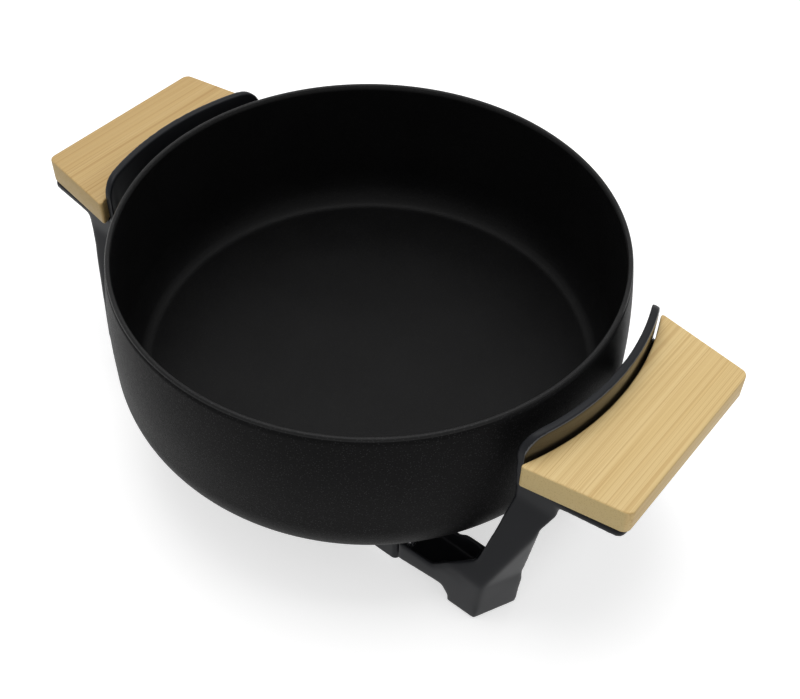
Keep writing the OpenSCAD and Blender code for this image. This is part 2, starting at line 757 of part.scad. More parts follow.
// Straight end of the heater, of the radius and the stretch asked for, on both sides
module element_ends(r, from_y, to_y) {
    for (x = [-1, 1] * pin_half_gap)
        translate([x, from_y, element_z]) rotate([-90, 0, 0]) cylinder(r = r, h = to_y - from_y);
}

// Hot plate: disc, flange and the block with the probe's bore, with a channel for the heater
module hot_plate() {
    probe_len = probe_block_y - probe_block_front;
    channel_half = element_r + part_fit;
    pocket_in_x = pin_half_gap - channel_half;
    pocket_front = element_ring_r * sin(element_end_angle) - 2 * channel_half;
    pocket_w = element_ring_r * cos(element_end_angle) + channel_half - pocket_in_x;
    color(cast_grey) difference() {
        union() {
            difference() {
                union() {
                    translate([0, 0, flange_z]) cylinder(r = hot_plate_r, h = seat_z - flange_z);
                    translate([0, 0, flange_z]) cylinder(r = flange_r, h = flange_t);
                }
                translate([0, 0, flange_z - cut]) difference() {
                    cylinder(r = element_ring_r + channel_half, h = channel_half + cut);
                    translate([0, 0, -cut])
                        cylinder(r = element_ring_r - channel_half, h = channel_half + 3 * cut);
                }
                for (m = [0, 1]) mirror([m, 0, 0])
                    translate([pocket_in_x, pocket_front, flange_z - cut])
                        cube([pocket_w, flange_r, channel_half + cut]);
            }
            translate([-probe_block_half_w, probe_block_front, flange_z - probe_block_h])
                cube([2 * probe_block_half_w, probe_len, probe_block_h + flange_t]);
        }
        translate([0, probe_block_y + cut, probe_z])
            rotate([90, 0, 0]) cylinder(r = probe_r, h = probe_depth + cut);
        for (a = spacer_angles)
            rotate([0, 0, a]) translate([spacer_ring_r, 0, flange_z - cut])
                cylinder(r = screw_r + hole_fit, h = thread_len + 2 * cut);
        translate([0, clamp_screw_y, flange_z - cut])
            cylinder(r = small_screw_r + hole_fit, h = small_thread + 2 * cut);
        translate([earth_x, earth_y, flange_z - cut])
            cylinder(r = small_screw_r + hole_fit, h = small_thread + 2 * cut);
    }
}

// Silicone seal between the flange and the base's top
module plate_seal() {
    color(silicone_red) translate([0, 0, flange_top]) difference() {
        cylinder(r = flange_r, h = seal_t);
        translate([0, 0, -cut]) cylinder(r = plate_hole_r, h = seal_t + 2 * cut);
    }
}

// Tubular heater with its thin cold pins
module heating_element() {
    color(steel) {
        tube(element_route(), element_r, heater_sides);
        element_ends(cold_pin_r, element_end_y - cut, cold_pin_y);
    }
}

// Ceramic end of the heater, on both cold pins
module element_end_seals() {
    color(ceramic_white) difference() {
        element_ends(element_r, element_end_y, element_end_y + end_seal_len);
        element_ends(cold_pin_r + hole_fit, element_end_y - cut, cold_pin_y);
    }
}

// Reflector sheet on the spacers' shoulders, cut out round the probe block
module heat_reflector() {
    slot_half_w = probe_block_half_w + reflector_slot;
    color(steel) difference() {
        translate([0, 0, spacer_top]) cylinder(r = reflector_r, h = reflector_t);
        for (a = spacer_angles)
            rotate([0, 0, a]) translate([spacer_ring_r, 0, spacer_top - cut])
                cylinder(r = spacer_out_r + hole_fit, h = reflector_t + 2 * cut);
        translate([-slot_half_w, probe_block_front - reflector_slot, spacer_top - cut])
            cube([2 * slot_half_w, flange_r, reflector_t + 2 * cut]);
    }
}

// Spacers that carry the hot plate on the cover
module plate_spacers() {
    color(steel) for (a = spacer_angles)
        rotate([0, 0, a]) translate([spacer_ring_r, 0, cover_top]) difference() {
            union() {
                cylinder(r = spacer_out_r, h = flange_z - cover_top);
                cylinder(r = spacer_foot_r, h = spacer_step);
            }
            translate([0, 0, -cut]) cylinder(r = spacer_in_r, h = flange_z - cover_top + 2 * cut);
        }
}

// Screws through cover and spacers into the hot plate
module plate_screws() {
    color(steel) for (a = spacer_angles)
        rotate([0, 0, a]) translate([spacer_ring_r, 0, base_z]) screw(flange_z - base_z + thread_len);
}

// Block along Y, centred on the socket's axis in X and Z
module socket_block(half_w, half_h, from_y, to_y) {
    translate([-half_w, from_y, probe_z - half_h]) cube([2 * half_w, to_y - from_y, 2 * half_h]);
}

// Hole along Y through the socket's back
module socket_hole(x, r) {
    translate([x, base_half_y - socket_plug_len - cut, probe_z])
        rotate([-90, 0, 0]) cylinder(r = r, h = socket_plug_len + socket_back_t + 2 * cut);
}

// Inlet socket: shroud, back, the plug through the base's wall and the two screw ears
module inlet_socket() {
    back_y = base_half_y + socket_back_t;
    plug_y = base_half_y - socket_plug_len;
    slot_half_h = spring_half_h + hole_fit;
    color(socket_black) difference() {
        union() {
            socket_block(socket_out_half_w, socket_out_half_h, base_half_y, base_half_y + socket_len);
            socket_block(socket_plug_half_w, socket_plug_half_h, plug_y, base_half_y + cut);
            socket_block(socket_out_half_w + ear_w, boss_r + 1, base_half_y, base_half_y + ear_t);
        }
        socket_block(socket_half_w, socket_half_h, back_y, base_half_y + socket_len + cut);
        for (x = [-1, 1] * pin_half_gap) socket_hole(x, pin_shank_r + hole_fit);
        socket_hole(0, probe_r + probe_pass);
        for (x = [-1, 1] * inlet_screw_x) socket_hole(x, screw_r + pass_fit);
        translate([socket_half_w - spring_t - hole_fit, plug_y - cut, probe_z - slot_half_h])
            cube([spring_t + 2 * hole_fit, back_y - plug_y + 2 * cut, 2 * slot_half_h]);
    }
}

// Contact pin with its thicker shank and its rounded tip
module contact_pin(x) {
    tip = pin_r / 2;
    length = pin_tip_y - pin_end_y;
    profile = concat(
        [[0, 0], [pin_shank_r, 0], [pin_shank_r, length - pin_show], [pin_r, length - pin_show]],
        arc([pin_r - tip, length - tip], tip, 0, 90),
        [[0, length]]
    );
    color(brass_yellow) translate([x, pin_end_y, probe_z]) rotate([-90, 0, 0])
        rotate_extrude() polygon(profile);
}

// Earth contact: a flat spring along the socket's side
module earth_spring() {
    color(brass_yellow) translate([socket_half_w - spring_t, spring_end_y, probe_z - spring_half_h])
        cube([spring_t, spring_tip_y - spring_end_y, 2 * spring_half_h]);
}

// Screws that hold the inlet socket
module inlet_screws() {
    color(steel) for (x = [-1, 1] * inlet_screw_x)
        translate([x, base_half_y + ear_t, probe_z]) rotate([90, 0, 0]) screw(ear_t + base_wall + thread_len);
}

// Cut-out lying against the hot plate
module thermal_fuse() {
    color(ceramic_white) translate([-fuse_half_len, fuse_y, fuse_z])
        rotate([0, 90, 0]) cylinder(r = fuse_r, h = 2 * fuse_half_len);
}

// Bent strap that holds the cut-out up against the hot plate
module fuse_clamp() {
    low_z = fuse_z - fuse_r - fuse_air;
    far_y = fuse_y + clamp_leg;
    near_y = fuse_y - clamp_leg;
    foot_y = near_y - clamp_foot_len;
    strap = [
        [foot_y, flange_z], [foot_y, flange_z - clamp_t], [near_y - clamp_t, flange_z - clamp_t],
        [near_y - clamp_t, low_z - clamp_t], [far_y + clamp_t, low_z - clamp_t], [far_y + clamp_t, flange_z],
        [far_y, flange_z], [far_y, low_z], [near_y, low_z], [near_y, flange_z]
    ];
    color(steel) difference() {
        translate([-clamp_half_w, 0, 0]) front_prism(strap, 2 * clamp_half_w);
        translate([0, clamp_screw_y, flange_z - clamp_t - cut])
            cylinder(r = small_screw_r + pass_fit, h = clamp_t + 2 * cut);
    }
}

// Screw of the strap
module clamp_screw() {
    color(steel) translate([0, clamp_screw_y, flange_z - clamp_t])
        screw(clamp_t + small_thread, small_screw_r, small_head_r, small_head_h);
}

// Strip that joins the neutral pin to the heater
module neutral_strip() {
    color(brass_yellow)
        translate([pin_half_gap - strip_half_w, cold_pin_y, probe_z - pin_r])
            cube([2 * strip_half_w, strip_t, element_z - probe_z + pin_r + cold_pin_r]);
}

// Earth screw with its ring terminal
module earth_terminal() {
    color(brass_yellow) translate([earth_x, earth_y, flange_z - clamp_t]) {
        screw(clamp_t + small_thread, small_screw_r, small_head_r, small_head_h);
        difference() {
            cylinder(r = washer_r, h = clamp_t);
            translate([0, 0, -cut]) cylinder(r = small_screw_r + hole_fit, h = clamp_t + 2 * cut);
        }
    }
}

pan();
bracket();  // right_bracket
mirror([1, 0, 0]) bracket();  // left_bracket
grip();  // right_grip
mirror([1, 0, 0]) grip();  // left_grip
grip_screws();
foot_pad(1, -1);  // front_right_foot_pad
foot_pad(-1, -1);  // front_left_foot_pad
foot_pad(1, 1);  // rear_right_foot_pad
foot_pad(-1, 1);  // rear_left_foot_pad
bracket_screws();
base_housing();
base_cover();
cover_screws();
hot_plate();
plate_seal();
heating_element();
element_end_seals();
heat_reflector();
plate_spacers();
plate_screws();
inlet_socket();
contact_pin(-pin_half_gap);  // live_pin
contact_pin(pin_half_gap);  // neutral_pin
earth_spring();
inlet_screws();
thermal_fuse();
fuse_clamp();
clamp_screw();
color(wire_brown) lead(live_route);  // live_lead
color(wire_brown) lead(fuse_route);  // fuse_lead
neutral_strip();
color(wire_green) lead(earth_route);  // earth_lead
earth_terminal();
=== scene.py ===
"""Looks of an electric fondue pot: a coated pan on a heated stand with bamboo grips.

Everything is in metres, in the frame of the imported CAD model: Z is up, the grips lie along X
and the mains inlet faces +Y.
"""

import math

import bmesh
import bpy
from mathutils import Matrix, Vector


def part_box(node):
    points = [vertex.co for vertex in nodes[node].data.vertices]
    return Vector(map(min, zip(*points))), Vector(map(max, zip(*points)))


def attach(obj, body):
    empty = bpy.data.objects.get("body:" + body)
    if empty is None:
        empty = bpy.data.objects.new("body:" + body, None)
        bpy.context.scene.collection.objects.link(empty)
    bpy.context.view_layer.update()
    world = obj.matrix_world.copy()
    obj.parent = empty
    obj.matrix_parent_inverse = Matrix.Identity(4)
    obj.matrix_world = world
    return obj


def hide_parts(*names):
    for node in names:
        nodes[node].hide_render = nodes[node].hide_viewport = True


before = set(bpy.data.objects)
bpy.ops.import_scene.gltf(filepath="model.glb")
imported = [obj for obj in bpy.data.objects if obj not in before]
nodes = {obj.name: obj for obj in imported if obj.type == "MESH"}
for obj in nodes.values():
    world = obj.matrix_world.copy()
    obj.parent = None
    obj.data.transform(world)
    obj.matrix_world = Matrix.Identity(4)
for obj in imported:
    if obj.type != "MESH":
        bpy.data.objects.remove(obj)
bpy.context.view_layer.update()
MM = 0.001

# Sizes of the pan that its box doesn't give, as in the part's source
PAN_WALL = 2.4 * MM
PAN_FLOOR = 5.9 * MM
PAN_SWELL = 3.8 * MM
PAN_SWELL_DROP = 45.0 * MM
PAN_BEND_R = 33.0 * MM
PAN_BEND_CUT = 6.0 * MM
PAN_CORNER_R = 8.0 * MM
PAN_RING_H = 3.0 * MM
PAN_RING_IN_R = 61.5 * MM
PAN_RING_OUT_R = 65.0 * MM

# Eased edges under the pan, rings of points on its flats, steps round it and what faces up like its floor
PAN_RING_EDGE = 0.5 * MM
PAN_HEEL_R = 1.5 * MM
PAN_HEEL_FLAT = 15.0 * MM
PAN_UNDER_SHARES = (0, 0.35, 0.7, 1)
PAN_FLOOR_RINGS = (90 * MM, 60 * MM, 30 * MM, 0)
PAN_TURNS = 256
PAN_FLOOR_FACING = 0.5

# Levels of a bracket, as in the part's source
FOOT_TOP = 24.0 * MM
KNEE_Z = 29.0 * MM
PLATE_T = 3.8 * MM

# Where the outer corners of a bracket's plate begin
PLATE_ROOT_X = 145.5 * MM
PLATE_END_Y = 40.0 * MM

# Rounding of a bracket: its cells, the passes over edges, legs and knees, and the share of faces kept
BRACKET_VOXEL = 0.5 * MM
ROUND_FACTOR = 0.5
BRACKET_ROUNDS = 6
LEG_ROUNDS = 24
KNEE_ROUNDS = 110
BRACKET_SHARE = 0.16

# Where those passes take hold, and their share on plate and shield and at the sole of a foot
UPPER_DROP = 4.0 * MM
UPPER_EDGE_SHARE = 0.25
SOLE_EDGE_SHARE = 0.3
SOLE_Z = 2.0 * MM
SOLE_H = 10.0 * MM
LEG_HEAD_H = 6.0 * MM
LEG_FOOT_Z = 4.0 * MM
LEG_FOOT_H = 12.0 * MM
KNEE_REACH = 22.0 * MM
KNEE_IN_X = 100.0 * MM

# Growths that make up for what the rounding takes away, and that of a grip's hollow side
SHIELD_GROWTH = 1.2 * MM
PLATE_GROWTH = 0.8 * MM
KNEE_GROWTH = 2.2 * MM
GRIP_GROWTH = 0.7 * MM

# Glossy face of a shield: its foot above the plate, its reach past the pan and how far it faces out
GLOSS_FOOT = 1.0 * MM
GLOSS_REACH = 12.0 * MM
GLOSS_FACING = 0.7

# Radii of eased edges and corners
GRIP_EDGE = 0.8 * MM
GRIP_CORNER = 2.4 * MM
HOUSING_EDGE = 0.8 * MM
SOCKET_EDGE = 0.4 * MM
FINE_EDGE = 0.25 * MM

# Angles from which an edge is sharp, and up to which faces count as one
SHARP_ANGLE = math.radians(40)
FLAT_ANGLE = math.radians(1)

# Slack for points that count as one, that lie on a face and that lie at the end of a grip
SAME_PLACE = 1e-6
ON_FACE = 0.25 * MM
AT_END = 1.0 * MM

# Usual range of a noise, and the heights over which painted shade takes the stand's plastic from its paler
# tone at the foot to its darker tone on the leg
NOISE_LOW = 0.3
NOISE_HIGH = 0.7
PAINTED_SHADE_START = 26.0 * MM
PAINTED_SHADE_FULL = 36.0 * MM

# Camera, fitted to the rim, grips and feet in the photograph
CAMERA_PLACE = (0.26405, -0.31752, 0.48723)
CAMERA_AZIMUTH = math.radians(37.65)
CAMERA_ELEVATION = math.radians(47.10)
CAMERA_ROLL = math.radians(1.63)
CAMERA_LENS = 53.69
CAMERA_SENSOR = 36


# Meshes

def new_piece(name, mesh, body, material, replaced):
    """Object of a mesh that rides on a body and stands for a CAD node."""
    piece = bpy.data.objects.new(name, mesh)
    bpy.context.scene.collection.objects.link(piece)
    mesh.materials.clear()
    mesh.materials.append(material)
    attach(piece, body)
    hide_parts(replaced)


def arc(centre, radius, start, end, steps):
    """Points of an arc in the plane, with angles in degrees."""
    angles = [math.radians(start + (end - start) * i / steps) for i in range(steps + 1)]
    return [(centre[0] + radius * math.cos(a), centre[1] + radius * math.sin(a)) for a in angles]


def lathe(name, profile, turns):
    """Closed mesh of a profile of (radius, height) points turned round Z."""
    mesh = bpy.data.meshes.new(name)
    build = bmesh.new()
    rings = []
    angles = [2 * math.pi * k / turns for k in range(turns)]
    for radius, height in profile:
        if radius < SAME_PLACE:
            rings.append([build.verts.new((0, 0, height))])
            continue
        rings.append([build.verts.new((radius * math.cos(a), radius * math.sin(a), height)) for a in angles])
    for low, high in zip(rings, rings[1:]):
        for k in range(turns):
            low_pair = [low[k % len(low)], low[(k + 1) % len(low)]]
            high_pair = [high[(k + 1) % len(high)], high[k % len(high)]]
            build.faces.new(list(dict.fromkeys(low_pair + high_pair)))
    bmesh.ops.recalc_face_normals(build, faces=build.faces)
    for face in build.faces:
        face.smooth = True
    build.to_mesh(mesh)
    build.free()
    return mesh


def welded_copy(node, name):
    """Copy of a CAD node's mesh with the split corners of its faces joined."""
    mesh = bpy.data.meshes.new(name)
    build = bmesh.new()
    build.from_mesh(nodes[node].data)
    bmesh.ops.remove_doubles(build, verts=build.verts, dist=SAME_PLACE)
    build.to_mesh(mesh)
    build.free()
    return mesh


def applied(mesh, *modifiers, weight=None):
    """Mesh with modifiers applied, each given as a type and its settings, with a weight by place."""
    holder = bpy.data.objects.new("holder", mesh)
    bpy.context.scene.collection.objects.link(holder)
    if weight:
        group = holder.vertex_groups.new(name="weight")
        for vertex in mesh.vertices:
            group.add([vertex.index], weight(vertex.co), "REPLACE")
    for kind, settings in modifiers:
        modifier = holder.modifiers.new(kind.lower(), kind)
        for key, value in settings.items():
            setattr(modifier, key, value)
    depsgraph = bpy.context.evaluated_depsgraph_get()
    result = bpy.data.meshes.new_from_object(holder.evaluated_get(depsgraph))
    result.name = mesh.name
    bpy.data.objects.remove(holder)
    return result


def shade_smooth(mesh):
    """Smooth shading all over a mesh."""
    mesh.polygons.foreach_set("use_smooth", [True] * len(mesh.polygons))
    return mesh


def mirrored(mesh, name):
    """Copy of a mesh mirrored about the YZ plane."""
    copy = mesh.copy()
    copy.name = name
    copy.transform(Matrix.Scale(-1, 4, (1, 0, 0)))
    copy.flip_normals()
    return copy


def added_material(mesh, material):
    """Adds a material to a mesh's list and returns its place there."""
    mesh.materials.append(material)
    return len(mesh.materials) - 1


def edge_bevel(node, width):
    """Rounds the sharp edges of a CAD node that stays in view."""
    piece = nodes[node]
    weld = piece.modifiers.new("weld", "WELD")
    weld.merge_threshold = SAME_PLACE
    bevel = piece.modifiers.new("bevel", "BEVEL")
    bevel.width = width
    bevel.segments = 3
    bevel.limit_method = "ANGLE"
    bevel.angle_limit = SHARP_ANGLE
    bevel.harden_normals = True


# Materials

class Shader:
    """A node material under construction."""

    def __init__(self, name):
        self.material = bpy.data.materials.new(name)
        self.material.use_nodes = True
        self.tree = self.material.node_tree
        self.surface = self.tree.nodes["Principled BSDF"]
        self.place = self.tree.nodes.new("ShaderNodeTexCoord").outputs["Object"]

    def node(self, kind, inputs=(), **settings):
        """New node with its settings, its input values and its links."""
        made = self.tree.nodes.new(kind)
        for key, value in settings.items():
            setattr(made, key, value)
        for socket, value in dict(inputs).items():
            if isinstance(value, bpy.types.NodeSocket):
                self.tree.links.new(value, made.inputs[socket])
            else:
                made.inputs[socket].default_value = value
        return made

    def stretched(self, scale):
        """Object coordinates, scaled by a vector."""
        return self.node("ShaderNodeMapping", {"Vector": self.place, "Scale": scale}).outputs["Vector"]

    def noise(self, scale, detail=2.0, roughness=0.5):
        """Noise of so many cells per metre, along each axis or alike along all."""
        vector = scale if hasattr(scale, "__len__") else (scale,) * 3
        inputs = {"Vector": self.stretched(vector), "Scale": 1.0, "Detail": detail, "Roughness": roughness}
        return self.node("ShaderNodeTexNoise", inputs).outputs["Fac"]

    def cells(self, scale):
        """Distance to the nearest of scattered points, so many per metre."""
        inputs = {"Vector": self.stretched((scale,) * 3), "Scale": 1.0}
        return self.node("ShaderNodeTexVoronoi", inputs).outputs["Distance"]

    def remap(self, value, low, high, to_low=0.0, to_high=1.0):
        """Value brought from one range to another, and held there."""
        inputs = {"Value": value, "From Min": low, "From Max": high, "To Min": to_low, "To Max": to_high}
        return self.node("ShaderNodeMapRange", inputs).outputs["Result"]

    def spread(self, noise, low, high):
        """Value between two limits, as a noise goes over its usual range."""
        return self.remap(noise, NOISE_LOW, NOISE_HIGH, low, high)

    def ramp(self, value, *stops):
        """Colour by value, from stops of place and colour."""
        made = self.node("ShaderNodeValToRGB", {"Fac": value})
        elements = made.color_ramp.elements
        while len(elements) < len(stops):
            elements.new(0.5)
        for element, (place, colour) in zip(elements, stops):
            element.position = place
            element.color = (*colour, 1)
        return made.outputs["Color"]

    def tones(self, noise, dark, light):
        """Colour between two, as a noise goes over its usual range."""
        return self.ramp(noise, (NOISE_LOW, dark), (NOISE_HIGH, light))

    def mix(self, share, first, second, blend="MIX"):
        """Mix of two colours, whose sockets come after those for numbers and vectors."""
        inputs = {0: share, 6: self.opaque(first), 7: self.opaque(second)}
        return self.node("ShaderNodeMix", inputs, data_type="RGBA", blend_type=blend).outputs[2]

    def opaque(self, colour):
        """Colour with its alpha, or the socket that gives it."""
        return colour if isinstance(colour, bpy.types.NodeSocket) else (*colour, 1)

    def bump(self, height, distance, strength):
        """Normal bent by a height."""
        inputs = {"Height": height, "Distance": distance, "Strength": strength}
        return self.node("ShaderNodeBump", inputs).outputs["Normal"]

    def finish(self, **sockets):
        """Sets or links the surface's sockets and returns the material."""
        for key, value in sockets.items():
            socket = self.surface.inputs[key.replace("_", " ")]
            if isinstance(value, bpy.types.NodeSocket):
                self.tree.links.new(value, socket)
            else:
                socket.default_value = (*value, 1) if hasattr(value, "__len__") else value
        return self.material


def srgb(red, green, blue):
    """Linear colour of a screen colour given from 0 to 255."""
    shares = [level / 255 for level in (red, green, blue)]
    return tuple(c / 12.92 if c <= 0.04 else ((c + 0.055) / 1.055) ** 2.4 for c in shares)


def coating(name, speckle_share, roughness, specular):
    """Black non-stick coating with its fine speckle."""
    s = Shader(name)
    grain = s.noise(1500, detail=3, roughness=0.6)
    speckle = s.remap(s.cells(950), 0.30, 0.06, 0.0, speckle_share)
    patch = s.noise(28, detail=3)
    colour = s.tones(patch, (0.0050, 0.0050, 0.0052), (0.0068, 0.0068, 0.0070))
    colour = s.mix(speckle, colour, (0.034, 0.034, 0.035))
    rough = s.spread(grain, roughness - 0.08, roughness + 0.08)
    normal = s.bump(grain, 0.16 * MM, 0.8)
    return s.finish(Base_Color=colour, Roughness=rough, Specular_IOR_Level=specular, Normal=normal)


def moulded_plastic(name, dark, light, roughness, specular):
    """Satin moulded plastic with a faint texture, and painted shade that makes it darker above the foot than
    at the foot.
    """
    s = Shader(name)
    grain = s.noise(2600, detail=2)
    cloud = s.noise(40, detail=4)
    height = s.node("ShaderNodeSeparateXYZ", {"Vector": s.place}).outputs["Z"]
    # Painted shade: the light colour at the foot and the dark one above it stand in for how differently the
    # foot and the leaning leg reflect their surroundings
    colour = s.mix(s.remap(height, PAINTED_SHADE_START, PAINTED_SHADE_FULL, 1.0, 0.0), dark, light)
    colour = s.mix(s.spread(cloud, 0.0, 0.12), colour, light)
    rough = s.spread(cloud, roughness - 0.03, roughness + 0.05)
    normal = s.bump(grain, 0.02 * MM, 0.5)
    return s.finish(Base_Color=colour, Roughness=rough, Specular_IOR_Level=specular, Normal=normal)


def bamboo(name, tint):
    """Pressed bamboo: strips side by side with straight fibres along Y, and dotted end grain."""
    s = Shader(name)
    strip = s.noise((70, 1.2, 20), detail=1)
    streak = s.noise((420, 1.6, 260), detail=3)
    fibre = s.noise((1500, 4, 1500), detail=2, roughness=0.6)
    hair = s.noise((3600, 10, 3600), detail=1)
    strips = ((0.35, srgb(219, 190, 133)), (0.5, srgb(224, 196, 140)), (0.65, srgb(228, 201, 145)))
    colour = s.ramp(strip, *strips)
    colour = s.mix(s.remap(streak, 0.46, 0.70, 0.0, 0.14), colour, srgb(205, 170, 108))
    colour = s.mix(s.remap(fibre, 0.50, 0.68, 0.0, 0.36), colour, srgb(196, 158, 96))
    colour = s.mix(s.remap(hair, 0.54, 0.70, 0.0, 0.45), colour, srgb(190, 152, 92))
    line = s.node("ShaderNodeMath", {0: s.noise((290, 0.8, 290), detail=1), 1: 0.5}, operation="SUBTRACT")
    line = s.node("ShaderNodeMath", {0: line.outputs[0]}, operation="ABSOLUTE").outputs[0]
    colour = s.mix(s.remap(line, 0.030, 0.006, 0.0, 0.40), colour, srgb(186, 146, 86))
    pores = s.remap(s.cells(1300), 0.35, 0.10)
    end = s.mix(s.remap(pores, 0, 1, 0, 0.6), srgb(208, 184, 130), srgb(172, 142, 90))
    facing = s.node("ShaderNodeSeparateXYZ", {"Vector": s.node("ShaderNodeNewGeometry").outputs["Normal"]})
    ends = s.node("ShaderNodeMath", {0: facing.outputs["Y"]}, operation="ABSOLUTE").outputs[0]
    colour = s.mix(s.remap(ends, 0.75, 0.95), colour, end)
    colour = s.mix(1.0, colour, tint, "MULTIPLY")
    rough = s.spread(streak, 0.48, 0.62)
    normal = s.bump(fibre, 0.03 * MM, 0.5)
    return s.finish(Base_Color=colour, Roughness=rough, Specular_IOR_Level=0.35, Normal=normal)


def metal(name, colour, roughness, brush=(60, 60, 60)):
    """Bare metal with brush marks or cloudy tarnish."""
    s = Shader(name)
    marks = s.noise(brush, detail=4)
    cloud = s.noise(55, detail=3)
    tone = s.tones(cloud, tuple(c * 0.72 for c in colour), colour)
    rough = s.spread(marks, roughness - 0.07, roughness + 0.1)
    normal = s.bump(marks, 0.01 * MM, 0.4)
    return s.finish(Base_Color=tone, Metallic=1.0, Roughness=rough, Normal=normal)


def turned_metal(name, colour, roughness):
    """Cast metal with the fine rings of a turning tool round Z."""
    s = Shader(name)
    inputs = {"Vector": s.place, "Scale": 420.0, "Distortion": 0.4, "Detail": 2.0}
    rings = s.node("ShaderNodeTexWave", inputs, wave_type="RINGS", rings_direction="Z").outputs["Fac"]
    cloud = s.noise(35, detail=4)
    tone = s.tones(cloud, tuple(c * 0.75 for c in colour), colour)
    rough = s.spread(cloud, roughness - 0.05, roughness + 0.1)
    normal = s.bump(rings, 0.02 * MM, 0.5)
    return s.finish(Base_Color=tone, Metallic=1.0, Roughness=rough, Normal=normal)


def soft_rubber(name, colour, roughness=0.75):
    """Rubber or silicone with a dusty bloom."""
    s = Shader(name)
    bloom = s.noise(90, detail=5)
    grain = s.noise(1800, detail=2)
    clean = tuple(c * 0.8 for c in colour)
    dusty = tuple(min(1, c * 1.25 + 0.004) for c in colour)
    tone = s.ramp(bloom, (NOISE_LOW, clean), (0.75, dusty))
    rough = s.spread(bloom, roughness - 0.06, roughness + 0.06)
    normal = s.bump(grain, 0.03 * MM, 0.5)
    return s.finish(Base_Color=tone, Roughness=rough, Specular_IOR_Level=0.4, Normal=normal)


def ceramic():
    """White ceramic with faint specks."""
    s = Shader("white_ceramic")
    specks = s.remap(s.cells(700), 0.10, 0.04)
    cloud = s.noise(120, detail=3)
    tone = s.tones(cloud, srgb(226, 222, 212), srgb(238, 235, 228))
    tone = s.mix(specks, tone, srgb(176, 166, 150))
    return s.finish(Base_Color=tone, Roughness=s.spread(cloud, 0.28, 0.4))


# Each plastic's first colour is its painted shaded tone above the foot. Its second is the paler tone at the
# foot, which its random clouding also uses.
STAND = moulded_plastic("anthracite_plastic", srgb(29, 30, 33), srgb(33, 34, 37), 0.36, 0.12)
SHIELD = moulded_plastic("shield_plastic", srgb(17, 17, 18), srgb(22, 22, 23), 0.12, 0.75)
SOCKET = moulded_plastic("black_plastic", srgb(24, 24, 25), srgb(30, 30, 32), 0.45, 0.4)
OUTER_COATING = coating("outer_coating", 1.0, 0.46, 0.036)
INNER_COATING = coating("inner_coating", 0.3, 0.34, 0.075)
LIP_COATING = coating("lip_coating", 1.0, 0.36, 0.15)
SCREW_STEEL = metal("zinc_steel", srgb(196, 197, 200), 0.32, (500, 500, 500))
SHEET_STEEL = metal("sheet_steel", srgb(190, 191, 194), 0.34, (30, 900, 30))
HEATER_STEEL = metal("heater_steel", srgb(132, 124, 116), 0.45)
REFLECTOR = metal("reflector_sheet", srgb(222, 223, 226), 0.22, (900, 30, 30))
HOT_PLATE = turned_metal("turned_aluminium", srgb(196, 197, 200), 0.34)
BRASS = metal("contact_brass", srgb(214, 180, 104), 0.28, (400, 30, 400))
RUBBER = soft_rubber("pad_rubber", srgb(34, 34, 35))
SILICONE = soft_rubber("seal_silicone", srgb(150, 62, 48), 0.6)
BROWN_WIRE = soft_rubber("brown_wire", srgb(112, 68, 40), 0.5)
GREEN_WIRE = soft_rubber("green_wire", srgb(98, 146, 58), 0.5)
CERAMIC = ceramic()
RIGHT_BAMBOO = bamboo("right_bamboo", (1.0, 1.0, 0.98))
LEFT_BAMBOO = bamboo("left_bamboo", (0.77, 0.72, 0.65))


# Pan

def pan_profile():
    """Half section of the pan, from the middle of its underside round to the middle of its floor."""
    low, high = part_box("pan")
    belly = high.x
    seat = low.z + PAN_RING_H
    lip_r = PAN_WALL / 2
    lip_z = high.z - lip_r
    swell_z = high.z - PAN_SWELL_DROP
    swell_r = (PAN_SWELL_DROP ** 2 + PAN_SWELL ** 2) / (2 * PAN_SWELL)
    swell_x = belly - swell_r
    out_angle = math.degrees(math.asin((lip_z - swell_z) / swell_r))
    in_angle = math.degrees(math.asin((lip_z - swell_z) / (swell_r - PAN_WALL)))
    lip_out = swell_x + swell_r * math.cos(math.radians(out_angle))
    lip_in = swell_x + (swell_r - PAN_WALL) * math.cos(math.radians(in_angle))
    bend = (belly - PAN_BEND_R, seat + PAN_BEND_R - PAN_BEND_CUT)
    bend_angle = math.degrees(math.asin(1 - PAN_BEND_CUT / PAN_BEND_R))
    in_bend_r = PAN_BEND_R - PAN_WALL
    corner_z = seat + PAN_FLOOR + PAN_CORNER_R
    corner_angle = math.degrees(math.asin((bend[1] - corner_z) / (in_bend_r - PAN_CORNER_R)))
    corner_x = bend[0] + (in_bend_r - PAN_CORNER_R) * math.cos(math.radians(corner_angle))
    heel_in = PAN_HEEL_R * math.tan(math.radians(90 - bend_angle) / 2)
    heel_x = bend[0] + PAN_BEND_R * math.cos(math.radians(bend_angle)) - heel_in
    heel_turn = math.degrees(heel_in / PAN_BEND_R)
    ring_z = low.z + PAN_RING_EDGE
    return (
        [(PAN_RING_IN_R * share, seat) for share in PAN_UNDER_SHARES]
        + arc((PAN_RING_IN_R + PAN_RING_EDGE, ring_z), PAN_RING_EDGE, 180, 270, steps=3)
        + arc((PAN_RING_OUT_R - PAN_RING_EDGE, ring_z), PAN_RING_EDGE, -90, 0, steps=3)
        + [(PAN_RING_OUT_R, seat), (heel_x - PAN_HEEL_FLAT, seat)]
        + arc((heel_x, seat + PAN_HEEL_R), PAN_HEEL_R, -90, -bend_angle, steps=4)
        + arc(bend, PAN_BEND_R, heel_turn - bend_angle, 0, steps=22)
        + arc((swell_x, swell_z), swell_r, 0, out_angle, steps=16)
        + arc(((lip_out + lip_in) / 2, lip_z), lip_r, 0, 180, steps=14)
        + arc((swell_x, swell_z), swell_r - PAN_WALL, in_angle, 0, steps=16)
        + arc(bend, in_bend_r, 0, -corner_angle, steps=12)
        + arc((corner_x, corner_z), PAN_CORNER_R, -corner_angle, -90, steps=14)[1:]
        + [(radius, seat + PAN_FLOOR) for radius in PAN_FLOOR_RINGS]
    )


